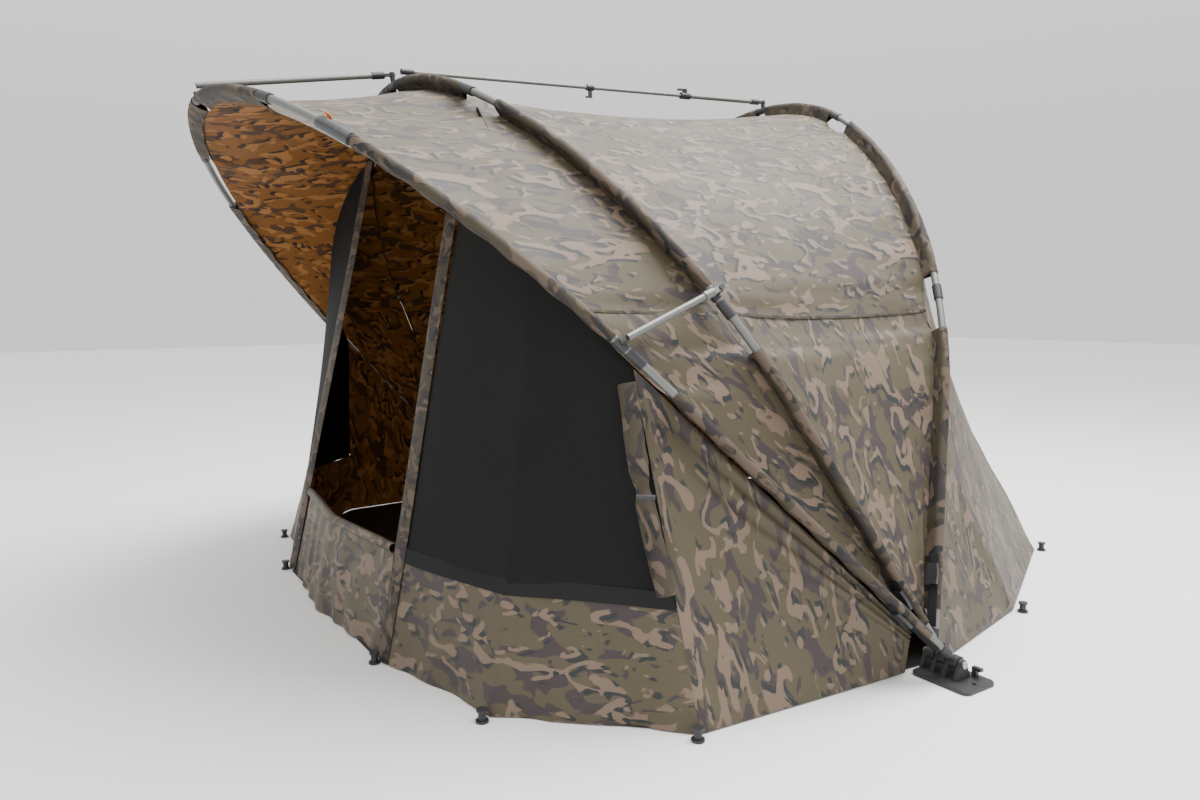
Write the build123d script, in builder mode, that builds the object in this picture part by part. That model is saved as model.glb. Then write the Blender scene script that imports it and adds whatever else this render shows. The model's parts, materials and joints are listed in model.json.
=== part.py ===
# Folding three-rib shelter: three tube arches turn on a hub block at each side,
# bars hold them apart, and a fabric skin, a mesh front and a groundsheet hang from them.
# Millimetres. +Z up, -Y is the door side, origin on the ground midway between the hubs.
from build123d import *
from math import atan, cos, degrees, radians, sin, sqrt, tan
import os

os.makedirs("parts", exist_ok=True)

# ---- driving dimensions ---------------------------------------------------
half_width = 1350.0        # hub pivot to the middle of the shelter
pivot_height = 47.0
tube_radius = 10.0
tube_wall = 1.2
running_gap = 0.05         # radial, pin in eye
fit_gap = 0.3              # radial, one piece slid over another
cloth = 3.0                # thickness of the cloth solids
skin_inset = 36.0          # the skin hangs this far inside the tubes
sleeve_radius = 13.5
fin_gap = 2.5              # skin to fin, along the rib's normal
skin_start = 110.0         # bare tube from the pivot to the skin

# rake: angle from the ground at the front.  stand: straight-line height in the rib's plane.
# straight: unbent foot.  balance: first bend against second.  stagger: outwards from the hub.
# leg, crown: tube lengths, foot to ferrule and over the top.  collar_bare: bare tube
# below each crown collar.
ribs = {
    "front": dict(rake=45.0, stand=2033.0, lean=14.9, straight=1076.0, balance=0.87,
                  stagger=32.0, leg=1112.0, crown=940.0, collar_bare=302.0),
    "mid": dict(rake=60.2, stand=1780.0, lean=13.1, straight=718.0, balance=3.85,
                stagger=0.0, leg=1032.0, crown=876.0, collar_bare=130.0),
    "rear": dict(rake=111.3, stand=1768.0, lean=14.0, straight=665.0, balance=2.37,
                 stagger=-32.0, leg=1016.0, crown=866.0, collar_bare=95.0),
}
ferrule_length = 46.0
ferrule_wall = 3.0
bare_below = 120.0         # uncovered tube below each ferrule
bare_above = 68.0          # and above it, where the side bars clip on
collar_above = 24.0        # uncovered tube above each crown collar
bracket_half = 26.0        # half the gap in the crown sleeve

# hub
pin_radius = 5.0
eye_radius = 17.0
eye_width = 20.0
ear_width = 9.0
ear_radius = 12.0
foot_length = 120.0
foot_thickness = 9.0
foot_reach = 104.0         # outwards from the pivot's middle
foot_inner = 56.0          # inwards from the pivot's middle
peg_hole_radius = 5.5
peg_hole_reach = 82.0

# bars
bar_radius = 8.0
inner_bar_radius = 6.0
bar_wall = 1.2
bar_lift = 32.0            # tube centre to bar centre at a bracket
stud_radius = 4.0
tip_gap = 5.0
tip_back = 26.0            # the rear bar stops this far short of the middle stud
front_tip_rise = 3.0       # extra height of each tip, so that it clears the arch as it swings away
rear_tip_rise = 12.0
rear_bar_outer = 410.0     # length of the rear bar's outer tube
slider_overlap = 70.0
hook_place = 820.0         # along the rear bar from its root
connector_step = 45.0      # ferrule to side connector, along the tube

# ground plan of one side, from the hub round each way (x, y)
front_pegs = [(1246.0, -697.0), (921.0, -1040.0), (483.0, -1131.0)]
front_middle = -1180.0
rear_pegs = [(1180.0, 578.0), (856.0, 1246.0)]
rear_middle = 1500.0
sheet_margin = 14.0
sheet_thickness = 2.0

# front infill
strip_height = 265.0
post_width = 62.0
post_thickness = 8.0
post_top_half = 430.0      # door posts apart, at the top
hem_width = 34.0
panel_gap = 6.0
flap_radius = 26.0
clip_radius = 15.0
clip_height = 30.0
strap_width = 25.0
strap_length = 190.0


def finish(piece, name):
    piece.part.label = name
    export_step(piece.part, f"parts/{name}.step")


# ---- rib geometry ---------------------------------------------------------
# Each half arch is a straight foot, then two arcs that meet on a common tangent and
# end level at the crown.  x runs outwards, y up the rib's own plane.
def biarc(rib):
    lean = radians(rib["lean"])
    out = half_width + rib["stagger"]
    foot_end = Vector(out - rib["straight"] * sin(lean), rib["straight"] * cos(lean))
    crown = Vector(0, rib["stand"])
    along, level = Vector(-sin(lean), cos(lean)), Vector(-1, 0)
    span = crown - foot_end
    share = rib["balance"]
    a = 2 * share * (along.dot(level) - 1)
    b = -2 * span.dot(along * share + level)
    c = span.dot(span)
    near = max((-b - sqrt(b * b - 4 * a * c)) / (2 * a), (-b + sqrt(b * b - 4 * a * c)) / (2 * a))
    far = share * near
    joint = ((foot_end + along * far) * near + (crown - level * near) * far) * (1 / (near + far))
    first, second = joint - foot_end, crown - joint
    inwards = Vector(-along.Y, along.X)
    shoulder_radius = first.dot(first) / (2 * first.dot(inwards))
    crown_radius = second.dot(second) / (2 * abs(second.Y))
    turn = 2 * degrees(atan(abs(first.dot(inwards)) / first.dot(along)))
    shoulder_end = rib["lean"] + turn
    return dict(out=out, foot_end=foot_end, joint=joint, shoulder_radius=shoulder_radius,
                crown_radius=crown_radius, shoulder_end=shoulder_end,
                shoulder_start=rib["lean"], foot=rib["straight"])


def lengths(rib):
    g = rib["geometry"]
    shoulder = g["shoulder_radius"] * radians(g["shoulder_end"] - g["shoulder_start"])
    crown = g["crown_radius"] * radians(90 - g["shoulder_end"])
    return g["foot"], g["foot"] + shoulder, g["foot"] + shoulder + crown


def arch_point(rib, distance, inset=0.0):
    """Point at a distance along the tube from the pivot, moved inwards by the inset."""
    g = rib["geometry"]
    foot, shoulder, half = lengths(rib)
    if distance > half:
        mirrored = arch_point(rib, 2 * half - distance, inset)
        return Vector(-mirrored.X, mirrored.Y)
    lean = radians(g["shoulder_start"])
    if distance <= foot:
        inward = Vector(-cos(lean), -sin(lean))
        return Vector(g["out"] - distance * sin(lean), distance * cos(lean)) + inward * inset
    if distance <= shoulder:
        heading = lean + (distance - foot) / g["shoulder_radius"]
        centre = g["foot_end"] - Vector(cos(lean), sin(lean)) * g["shoulder_radius"]
        return centre + Vector(cos(heading), sin(heading)) * (g["shoulder_radius"] - inset)
    bend = radians(g["shoulder_end"])
    heading = bend + (distance - shoulder) / g["crown_radius"]
    centre = g["joint"] - Vector(cos(bend), sin(bend)) * g["crown_radius"]
    return centre + Vector(cos(heading), sin(heading)) * (g["crown_radius"] - inset)


def arch_lines(rib, start, end, inset=0.0, back=False):
    """Adds the tube's line, or one parallel to it, to the line block in use."""
    foot, shoulder, half = lengths(rib)
    breaks = [foot, shoulder, 2 * half - shoulder, 2 * half - foot]
    stops = [start] + [b for b in breaks if start + 1 < b < end - 1] + [end]
    spans = list(zip(stops, stops[1:]))
    for low, high in reversed(spans) if back else spans:
        # plain tuples, because the line block places tuples in its own plane
        ends = [tuple(arch_point(rib, d, inset)) for d in (low, high)]
        if back:
            ends.reverse()
        if high <= foot + 1 or low >= 2 * half - foot - 1:
            Line(ends[0], ends[1])
        else:
            ThreePointArc(ends[0], tuple(arch_point(rib, (low + high) / 2, inset)), ends[1])


def rib_plane(rib, shift=0.0):
    rake = radians(rib["rake"])
    face = Plane(origin=(0, 0, pivot_height), x_dir=(1, 0, 0), z_dir=(0, -sin(rake), -cos(rake)))
    return face.offset(shift)


def in_space(rib, distance, inset=0.0, shift=0.0):
    return rib_plane(rib, shift).from_local_coords(arch_point(rib, distance, inset))


for rib in ribs.values():
    rib["geometry"] = biarc(rib)
    rib["half"] = lengths(rib)[2]
    rib["collar"] = rib["half"] - rib["crown"] / 2
front, mid, rear = ribs["front"], ribs["mid"], ribs["rear"]


def ring_along(rib, start, end, outer, inner):
    """Hollow round bar along the tube's line, inside the part block in use."""
    with BuildLine(rib_plane(rib)) as path:
        arch_lines(rib, start, end)
    with BuildSketch(Plane(origin=path.line @ 0, z_dir=path.line % 0)) as section:
        Circle(outer)
        Circle(inner, mode=Mode.SUBTRACT)
    sweep(section.sketch, path=path.line)


def band(rib, start, end, inset_out, inset_in):
    """Flat strip between two lines parallel to the tube, in the sketch block in use."""
    with BuildLine() as outline:
        arch_lines(rib, start, end, inset_out)
        Line(arch_point(rib, end, inset_out), arch_point(rib, end, inset_in))
        arch_lines(rib, start, end, inset_in, back=True)
        Line(arch_point(rib, start, inset_in), arch_point(rib, start, inset_out))
    make_face(outline.edges())


# ---- tubes, ferrules and sleeves of the three ribs ------------------------
socket_end = 60.0          # along the tube, from the pivot
tube_start = 34.0
neck_radius = 7.5

for name, rib in ribs.items():
    half, collar, leg = rib["half"], rib["collar"], rib["leg"]

    with BuildPart() as legs:
        ring_along(rib, tube_start, leg, tube_radius, tube_radius - tube_wall)
        mirror(about=Plane.YZ)
    finish(legs, f"{name}_rib_legs")

    with BuildPart() as shoulders:
        ring_along(rib, leg, collar, tube_radius, tube_radius - tube_wall)
        mirror(about=Plane.YZ)
    finish(shoulders, f"{name}_rib_shoulders")

    with BuildPart() as crown:
        ring_along(rib, collar, 2 * half - collar, tube_radius, tube_radius - tube_wall)
    finish(crown, f"{name}_rib_crown")

    with BuildPart() as ferrules:
        for middle in (leg, collar):
            ring_along(rib, middle - ferrule_length / 2, middle + ferrule_length / 2,
                       tube_radius + ferrule_wall, tube_radius + fit_gap / 10)
        mirror(about=Plane.YZ)
    finish(ferrules, f"{name}_rib_ferrules")

    covered = [
        (skin_start, leg - bare_below),
        (leg + bare_above, collar - rib["collar_bare"]),
        (collar + collar_above, half - bracket_half),
    ]
    with BuildPart() as sleeves:
        for start, end in covered:
            ring_along(rib, start, end, sleeve_radius, tube_radius + fit_gap)
            with BuildSketch(rib_plane(rib)):
                band(rib, start, end, sleeve_radius - 2, skin_inset)
            extrude(amount=cloth / 2, both=True)
        mirror(about=Plane.YZ)
    finish(sleeves, f"{name}_rib_sleeves")

    # the foot: an eye on the hub pin and a socket that the tube stands in
    out = half_width + rib["stagger"]
    with BuildPart() as feet:
        with BuildSketch(Plane.YZ.offset(out - eye_width / 2)):
            with Locations((0, pivot_height)):
                Circle(eye_radius)
        extrude(amount=eye_width)
        with BuildLine() as up:
            Line(in_space(rib, eye_radius - 6), in_space(rib, tube_start))
        with BuildSketch(Plane(origin=up.line @ 0, z_dir=up.line % 0)):
            Circle(neck_radius)
        sweep(path=up.line)
        ring_along(rib, tube_start, socket_end, tube_radius + ferrule_wall,
                   tube_radius + fit_gap / 10)
        with BuildSketch(Plane.YZ.offset(out - eye_width)):
            with Locations((0, pivot_height)):
                Circle(pin_radius + running_gap)
        extrude(amount=2 * eye_width, mode=Mode.SUBTRACT)
        mirror(about=Plane.YZ)
    finish(feet, f"{name}_rib_feet")

    # webbing that tensions the skin's edge down to the foot, with its buckle
    strap_face = rib_plane(rib, sleeve_radius + fit_gap)
    with BuildPart() as straps:
        with BuildSketch(strap_face):
            with BuildLine():
                edge_in, edge_out = strap_width / 2, -strap_width / 2
                Polyline(*[arch_point(rib, s, i) for s, i in (
                    (socket_end + 4, edge_in), (socket_end + 4, edge_out),
                    (socket_end + strap_length, edge_out),
                    (socket_end + strap_length, edge_in))], close=True)
            make_face()
        extrude(amount=1.6)
        mirror(about=Plane.YZ)
    finish(straps, f"{name}_rib_straps")

    buckle_at = socket_end + strap_length * 0.72
    with BuildPart() as buckles:
        with BuildSketch(strap_face.offset(1.6)):
            with BuildLine():
                Polyline(*[arch_point(rib, buckle_at + s, i) for s, i in (
                    (-27, 13), (-27, -13), (-4, -15), (8, -15), (27, -12),
                    (27, 12), (8, 15), (-4, 15))], close=True)
            make_face()
        extrude(amount=8)
        mirror(about=Plane.YZ)
    finish(buckles, f"{name}_rib_buckles")

# ---- hub blocks and pins --------------------------------------------------
ear_pitch = front["stagger"]
ear_middles = [half_width + ear_pitch * k for k in (-1.5, -0.5, 0.5, 1.5)]
with BuildPart() as hub:
    with BuildSketch(Plane.XY):
        with Locations((half_width + (foot_reach - foot_inner) / 2, 0)):
            RectangleRounded(foot_reach + foot_inner, foot_length, 18)
    extrude(amount=foot_thickness)
    chamfer(hub.edges().group_by(Axis.Z)[-1], 1.5)
    with Locations((half_width + peg_hole_reach, 0, foot_thickness)):
        Hole(peg_hole_radius)
    for middle in ear_middles:
        with BuildSketch(Plane.YZ.offset(middle - ear_width / 2)):
            with BuildLine():
                Polyline((-30, foot_thickness - 1), (30, foot_thickness - 1),
                         (ear_radius, pivot_height), (-ear_radius, pivot_height), close=True)
            make_face()
            with Locations((0, pivot_height)):
                Circle(ear_radius)
                Circle(pin_radius + running_gap, mode=Mode.SUBTRACT)
        extrude(amount=ear_width)
    with Locations((half_width + 58, 40, foot_thickness + 12)):
        Box(12, 12, 25)
    with Locations((half_width + 64, 40, foot_thickness + 22)):
        Box(24, 12, 8)
    hub_right = hub.part
finish(hub, "hub_block_right")
with BuildPart() as hub_left:
    add(mirror(hub_right, about=Plane.YZ, mode=Mode.PRIVATE))
finish(hub_left, "hub_block_left")

pin_reach = ear_pitch * 1.5 + ear_width / 2
with BuildPart() as pins:
    with BuildSketch(Plane.YZ.offset(half_width - pin_reach - 1)):
        with Locations((0, pivot_height)):
            Circle(pin_radius)
    extrude(amount=2 * pin_reach + 2)
    for start in (half_width - pin_reach - 5, half_width + pin_reach + 0.5):
        with BuildSketch(Plane.YZ.offset(start)):
            with Locations((0, pivot_height)):
                Circle(pin_radius + 4)
        extrude(amount=4.5)
    mirror(about=Plane.YZ)
finish(pins, "hub_pins")


# ---- skin between the ribs ------------------------------------------------
def skin_band(rib):
    band(rib, skin_start, 2 * rib["half"] - skin_start, skin_inset, skin_inset + cloth)


with BuildPart() as front_canopy:
    with BuildSketch(rib_plane(front, -fin_gap)):
        skin_band(front)
    with BuildSketch(rib_plane(mid, fin_gap)):
        skin_band(mid)
    loft(ruled=True)
finish(front_canopy, "front_canopy")

with BuildPart() as rear_canopy:
    with BuildSketch(rib_plane(mid, -fin_gap)):
        skin_band(mid)
    with BuildSketch(rib_plane(rear, fin_gap)):
        skin_band(rear)
    loft(ruled=True)
finish(rear_canopy, "rear_canopy")


def rear_edge(inset):
    """Hem of the rear wall, from the right hub to the left one, as points."""
    hub_end = Vector(half_width - 58 - inset, 84)
    corner, back = [Vector(x, y) for x, y in rear_pegs]
    middle = Vector(0, rear_middle - inset)
    corner = corner - Vector(inset, inset * 0.4)
    back = back - Vector(inset * 0.8, inset * 0.6)
    return hub_end, corner, back, middle


def flip(point):
    return Vector(-point.X, point.Y)


with BuildPart() as rear_wall:
    with BuildSketch(rib_plane(rear, -fin_gap)):
        skin_band(rear)
    with BuildSketch(Plane.XY):
        hub_end, corner, back, middle = rear_edge(0)
        hub_in, corner_in, back_in, middle_in = rear_edge(cloth)
        with BuildLine():
            Line(hub_end, corner)
            Line(corner, back)
            ThreePointArc(back, middle, flip(back))
            Line(flip(back), flip(corner))
            Line(flip(corner), flip(hub_end))
            Line(flip(hub_end), flip(hub_in))
            Line(flip(hub_in), flip(corner_in))
            Line(flip(corner_in), flip(back_in))
            ThreePointArc(flip(back_in), middle_in, back_in)
            Line(back_in, corner_in)
            Line(corner_in, hub_in)
            Line(hub_in, hub_end)
        make_face()
    loft(ruled=True)
finish(rear_wall, "rear_wall")


# ---- mesh and cloth of the front ------------------------------------------
# Flat panels between corner points, each given the cloth's thickness behind its face.
def panel(corners, thickness):
    a, b, c = corners[0], corners[1], corners[2]
    face = Plane(origin=a, x_dir=b - a, z_dir=(b - a).cross(c - a))
    with BuildSketch(face) as shape:
        with BuildLine():
            Polyline(*[face.to_local_coords(p) for p in corners], close=True)
        make_face()
    extrude(shape.sketch, amount=-thickness)


def sheet_over(triangles, shift):
    """One closed sheet over joined flat triangles, with its thickness all in one direction."""
    def key(p):
        return tuple(round(v, 3) for v in p)
    uses = {}
    for corners in triangles:
        for a, b in zip(corners, corners[1:] + corners[:1]):
            uses.setdefault(frozenset((key(a), key(b))), []).append((a, b))
    faces = [Face(Wire.make_polygon(corners)) for corners in triangles]
    faces += [Face(Wire.make_polygon([p + shift for p in corners])) for corners in triangles]
    for edges in uses.values():
        if len(edges) == 1:
            a, b = edges[0]
            faces.append(Face(Wire.make_polygon([a, b, b + shift, a + shift])))
    add(Solid(Shell(faces)))


def between(a, b, share):
    return a + (b - a) * share


def ground(point, lift=0.0):
    return Vector(point[0], point[1], lift)


peg_a, peg_b, peg_c = [ground(p) for p in front_pegs]
middle_peg = Vector(0, front_middle, 0)
rib_end = in_space(front, front["leg"] - 20, skin_inset + 8, fin_gap + 4)


def mid_arch_at(x):
    """Point under the middle arch at a distance x from the centre line."""
    low, high = mid["half"] * 0.5, mid["half"]
    for _ in range(40):
        guess = (low + high) / 2
        if arch_point(mid, guess).X > x:
            low = guess
        else:
            high = guess
    return in_space(mid, low, skin_inset + 14, fin_gap + 12)


post_top = mid_arch_at(post_top_half)
hub_corner = Vector(half_width - 70, -60, 0)
leg_foot = in_space(front, skin_start + 20, skin_inset + 8, fin_gap + 4)

# straight lines up the front: each leans from its peg to the frame above
line_a = (peg_a, rib_end)
line_b = (peg_b, between(rib_end, post_top, 0.45))
line_c = (peg_c, post_top)


def at_height(line, height):
    share = (height - line[0].Z) / (line[1].Z - line[0].Z)
    return between(line[0], line[1], share)


with BuildPart() as side_panels:
    shift_a = Vector(9, 4, 0)
    panel([hub_corner, leg_foot, peg_a + shift_a], cloth)
    panel([leg_foot + Vector(0, -3, 4), rib_end + Vector(8, 4, 0), peg_a + shift_a + Vector(0, -3, 4)],
          cloth)
    mirror(about=Plane.YZ)
finish(side_panels, "side_panels")

post_clear = Vector(post_width / 2 + panel_gap, -6, 0)
inwards = (peg_a - peg_c).cross(Vector(0, 0, 1)).normalized()
if inwards.Y < 0:
    inwards = -inwards
with BuildPart() as skirt:
    top_a, top_b, top_c = [at_height(line, strip_height) for line in (line_a, line_b, line_c)]
    low_end, high_end = peg_c + post_clear, top_c + post_clear
    sheet_over([[peg_a, top_a, peg_b], [top_a, top_b, peg_b],
                [peg_b, top_b, low_end], [top_b, high_end, low_end]], inwards * cloth)
    mirror(about=Plane.YZ)
finish(skirt, "front_skirt")

with BuildPart() as door_sill:
    side_c = peg_c - Vector(post_width / 2 + panel_gap, 4, 0)
    side_top = top_c - Vector(post_width / 2 + panel_gap, 4, 0)
    middle_top = Vector(0, side_top.Y + (middle_peg.Y - side_c.Y), strip_height)
    left_c, left_top = [Vector(-p.X, p.Y, p.Z) for p in (side_c, side_top)]
    sheet_over([[side_c, side_top, middle_peg], [side_top, middle_top, middle_peg],
                [middle_peg, left_top, left_c], [middle_peg, middle_top, left_top]],
               Vector(0, cloth, 0))
finish(door_sill, "door_sill")

with BuildPart() as sill_roll:
    lift = Vector(0, 0, 13)
    with BuildLine() as roll_line:
        Line(side_top + lift, middle_top + lift)
    with BuildSketch(Plane(origin=roll_line.line @ 0, z_dir=roll_line.line % 0)):
        Circle(12)
    sweep(path=roll_line.line)
    mirror(about=Plane.YZ)
finish(sill_roll, "sill_roll")

mesh_low = strip_height + hem_width + 4
mesh_a, mesh_b, mesh_c = [at_height(line, mesh_low) for line in (line_a, line_b, line_c)]
with BuildPart() as windows:
    head_a, head_b = between(mesh_a, rib_end, 0.97), between(mesh_b, line_b[1], 0.95)
    head_c, foot_c = between(mesh_c, post_top, 0.97) + post_clear, mesh_c + post_clear
    sheet_over([[mesh_a, head_a, mesh_b], [head_a, head_b, mesh_b],
                [mesh_b, head_b, foot_c], [head_b, head_c, foot_c]], inwards * (cloth / 2))
    mirror(about=Plane.YZ)
finish(windows, "window_meshes")

with BuildPart() as hems:
    low_a, low_b, low_c = [at_height(line, strip_height + 2) for line in (line_a, line_b, line_c)]
    high_a, high_b, high_c = [at_height(line, strip_height + hem_width) for line in
                              (line_a, line_b, line_c)]
    sheet_over([[low_a, high_a, low_b], [high_a, high_b, low_b],
                [low_b, high_b, low_c + post_clear],
                [high_b, high_c + post_clear, low_c + post_clear]], inwards * cloth)
    mirror(about=Plane.YZ)
finish(hems, "window_hems")

with BuildPart() as posts:
    post_foot = peg_c + Vector(0, -8, 2)
    post_head = between(post_foot, post_top + Vector(0, -8, 0), 0.985)
    across = Vector(post_width / 2, 0, 0)
    panel([post_foot + across, post_head + across, post_head - across, post_foot - across],
          post_thickness)
    mirror(about=Plane.YZ)
finish(posts, "door_posts")

# the rolled window flap stands along the window's outer edge
window_out = (peg_a - peg_b).cross(Vector(0, 0, 1)).normalized()
if window_out.Y > 0:
    window_out = -window_out
window_along = (peg_b - peg_a).normalized()
with BuildPart() as flap:
    stand_off = window_out * (flap_radius + 16) + window_along * 10
    with BuildLine() as flap_line:
        Line(at_height(line_a, strip_height + 40) + stand_off,
             between(line_a[0], line_a[1], 0.94) + stand_off)
    with BuildSketch(Plane(origin=flap_line.line @ 0, z_dir=flap_line.line % 0)):
        Circle(flap_radius)
    sweep(path=flap_line.line)
finish(flap, "rolled_flap")

with BuildPart() as toggle:
    toggle_at = (flap_line.line @ 0.5) + window_out * (flap_radius + 8) - window_along * 20
    with BuildSketch(Plane(origin=toggle_at, z_dir=window_along)):
        Circle(6)
    extrude(amount=40)
finish(toggle, "flap_toggle")

# ---- groundsheet, pegging clips -------------------------------------------
with BuildPart() as groundsheet:
    margin = sheet_margin
    outline = [Vector(half_width - 92, 0), Vector(rear_pegs[0][0] - 2 * margin, rear_pegs[0][1] - margin),
               Vector(rear_pegs[1][0] - 2 * margin, rear_pegs[1][1] - 2 * margin),
               Vector(rear_pegs[1][0] * 0.48, rear_middle - 6 * margin)]
    ahead = [Vector(0, front_middle + 2 * margin), Vector(peg_c.X - margin, peg_c.Y + 2 * margin),
             Vector(peg_b.X - margin, peg_b.Y + 2 * margin),
             Vector(peg_a.X - 2 * margin, peg_a.Y + margin)]
    corners = ahead + outline
    with BuildSketch(Plane.XY):
        with BuildLine():
            Polyline(*corners, *[flip(p) for p in reversed(corners[1:])], close=True)
        make_face()
    extrude(amount=sheet_thickness)
finish(groundsheet, "groundsheet")

clip_step = clip_radius + 6
clip_places = [(x + clip_step * dx, y + clip_step * dy) for (x, y), (dx, dy) in zip(
    front_pegs + rear_pegs, ((0.7, -0.9), (0.45, -1.1), (0.1, -1.4), (1.1, 0.5), (0.7, 1.0)))]
with BuildPart() as clips:
    for x, y in clip_places:
        with BuildSketch(Plane.XY):
            with Locations((x, y)):
                Circle(clip_radius)
        extrude(amount=5)
        with BuildSketch(Plane.XY.offset(5)):
            with Locations((x, y)):
                Circle(clip_radius - 6)
        extrude(amount=clip_height - 10)
        with BuildSketch(Plane.XY.offset(clip_height - 5)):
            with Locations((x, y)):
                Circle(clip_radius - 2)
        extrude(amount=5)
    mirror(about=Plane.YZ)
finish(clips, "pegging_clips")


# ---- bars and their brackets ----------------------------------------------
# A bar turns on a stud at one end; its other end rests over a boss, a small gap above it.
def unit(v):
    return v * (1 / v.length)


def up_from(rib_point, towards):
    """Direction square to the bar and to the cross axis, pointing up."""
    lift = (towards - rib_point).cross(Vector(1, 0, 0))
    lift = unit(lift)
    return lift if lift.Z > 0 else -lift


crown_front = in_space(front, front["half"])
crown_mid = in_space(mid, mid["half"])
crown_rear = in_space(rear, rear["half"])
front_up = up_from(crown_mid, crown_front)
rear_up = up_from(crown_rear, crown_mid)
bracket_step = 15.0


def clamp_ring(rib, low, high, lug_at, lug_up, lug_top):
    """Split ring on a rib's tube with a lug that stands towards a bar."""
    ring_along(rib, low, high, tube_radius + ferrule_wall, tube_radius + fit_gap / 10)
    with BuildSketch(Plane(origin=lug_at + lug_up * (tube_radius + 1.2), z_dir=lug_up)) as lug:
        Circle(8)
    extrude(lug.sketch, amount=lug_top - tube_radius - 1.2)


def stud(base, up, low, high):
    with BuildSketch(Plane(origin=base + up * low, z_dir=up)) as shank:
        Circle(stud_radius)
    extrude(shank.sketch, amount=high - low)
    with BuildSketch(Plane(origin=base + up * (high - 3), z_dir=up)) as head:
        Circle(stud_radius + 3)
    extrude(head.sketch, amount=3)


bar_plate = 8.0
lug_top = bar_lift - bar_plate / 2 - 0.5
boss_top = bar_lift - bar_radius - tip_gap - 0.5
cap_top = bar_lift + bar_plate / 2 + 3.5

with BuildPart() as front_bracket:
    clamp_ring(front, front["half"] - 20, front["half"] + 20, crown_front, front_up, boss_top)
finish(front_bracket, "front_crown_bracket")

with BuildPart() as mid_bracket:
    clamp_ring(mid, mid["half"] - 24, mid["half"] + 24, crown_mid, front_up, lug_top)
    stud(crown_mid, front_up, lug_top - 1, cap_top)
finish(mid_bracket, "mid_crown_bracket")

with BuildPart() as rear_bracket:
    clamp_ring(rear, rear["half"] - 24, rear["half"] + 24, crown_rear, rear_up, lug_top)
    stud(crown_rear, rear_up, lug_top - 1, cap_top)
finish(rear_bracket, "rear_crown_bracket")


def bar_end(root, along, up, reach):
    """Flat eye that turns on a stud, and the neck that joins it to the bar's tube."""
    face = Plane(origin=root - up * (bar_plate / 2), x_dir=along, z_dir=up)
    with BuildSketch(face) as eye:
        Circle(10)
        with Locations((reach / 2, 0)):
            Rectangle(reach, 14)
        Circle(stud_radius + running_gap, mode=Mode.SUBTRACT)
    extrude(eye.sketch, amount=bar_plate)


def straight_tube(start, end, outer, inner):
    with BuildSketch(Plane(origin=start, z_dir=end - start)) as section:
        Circle(outer)
        Circle(inner, mode=Mode.SUBTRACT)
    extrude(section.sketch, amount=(end - start).length)


end_reach = 34.0

# front ridge bar: root on the middle arch, tip over the front arch's boss
root = crown_mid + front_up * bar_lift
tip = crown_front + front_up * (bar_lift + front_tip_rise)
along = unit(tip - root)
with BuildPart() as front_bar:
    straight_tube(root + along * (end_reach - 8), tip - along * 4, bar_radius, bar_radius - bar_wall)
finish(front_bar, "front_ridge_bar")
with BuildPart() as front_bar_end:
    bar_end(root, along, front_up, end_reach - 9)
    straight_tube(root + along * (end_reach - 8), root + along * (end_reach + 30),
                  bar_radius + 2.5, bar_radius + fit_gap / 10)
finish(front_bar_end, "front_ridge_bar_end")

# rear ridge bar: root on the rear arch, telescopes towards the middle arch
root = crown_rear + rear_up * bar_lift
tip = crown_mid + rear_up * (bar_lift + rear_tip_rise)
along = unit(tip - root)
tip = tip - along * tip_back
span = (tip - root).length
outer_end = root + along * rear_bar_outer
with BuildPart() as rear_bar:
    straight_tube(root + along * (end_reach - 8), outer_end, bar_radius, bar_radius - bar_wall)
finish(rear_bar, "rear_ridge_bar")
with BuildPart() as rear_bar_end:
    bar_end(root, along, rear_up, end_reach - 9)
    straight_tube(root + along * (end_reach - 8), root + along * (end_reach + 30),
                  bar_radius + 2.5, bar_radius + fit_gap / 10)
finish(rear_bar_end, "rear_ridge_bar_end")

slider_start = outer_end - along * slider_overlap
with BuildPart() as slider:
    straight_tube(slider_start, tip - along * 14, inner_bar_radius, inner_bar_radius - bar_wall)
finish(slider, "ridge_slider")
with BuildPart() as slider_tip:
    straight_tube(tip - along * 40, tip, bar_radius + 1, inner_bar_radius + fit_gap / 10)
finish(slider_tip, "ridge_slider_tip")

# cam lock: a collar on the outer tube's mouth and a lever that turns on it
with BuildPart() as cam_collar:
    straight_tube(outer_end - along * 34, outer_end + along * 8, bar_radius + 4,
                  bar_radius + fit_gap / 10)
    lock_at = outer_end - along * 13
    with BuildSketch(Plane(origin=lock_at + rear_up * (bar_radius + 2), z_dir=rear_up)):
        Circle(9)
    extrude(amount=8)
finish(cam_collar, "cam_collar")

lever_base = bar_radius + 10.5
with BuildPart() as lever:
    face = Plane(origin=lock_at + rear_up * lever_base, x_dir=along, z_dir=rear_up)
    with BuildSketch(face):
        Circle(9)
        with Locations((17, 0)):
            RectangleRounded(34, 11, 3)
    extrude(amount=6)
finish(lever, "cam_lever")

# roof hook: a clip on the inner tube, with a tongue that holds the skin's loop
hook_at = root + along * hook_place
with BuildPart() as roof_hook:
    straight_tube(hook_at - along * 14, hook_at + along * 14, inner_bar_radius + 4,
                  inner_bar_radius + fit_gap / 10)
    face = Plane(origin=hook_at - rear_up * (inner_bar_radius + 3), x_dir=along, z_dir=-rear_up)
    with BuildSketch(face):
        Rectangle(12, 8)
    extrude(amount=24)
    with BuildSketch(face.offset(20)):
        with Locations((6, 0)):
            Rectangle(24, 8)
    extrude(amount=5)
finish(roof_hook, "roof_hook")

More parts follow.
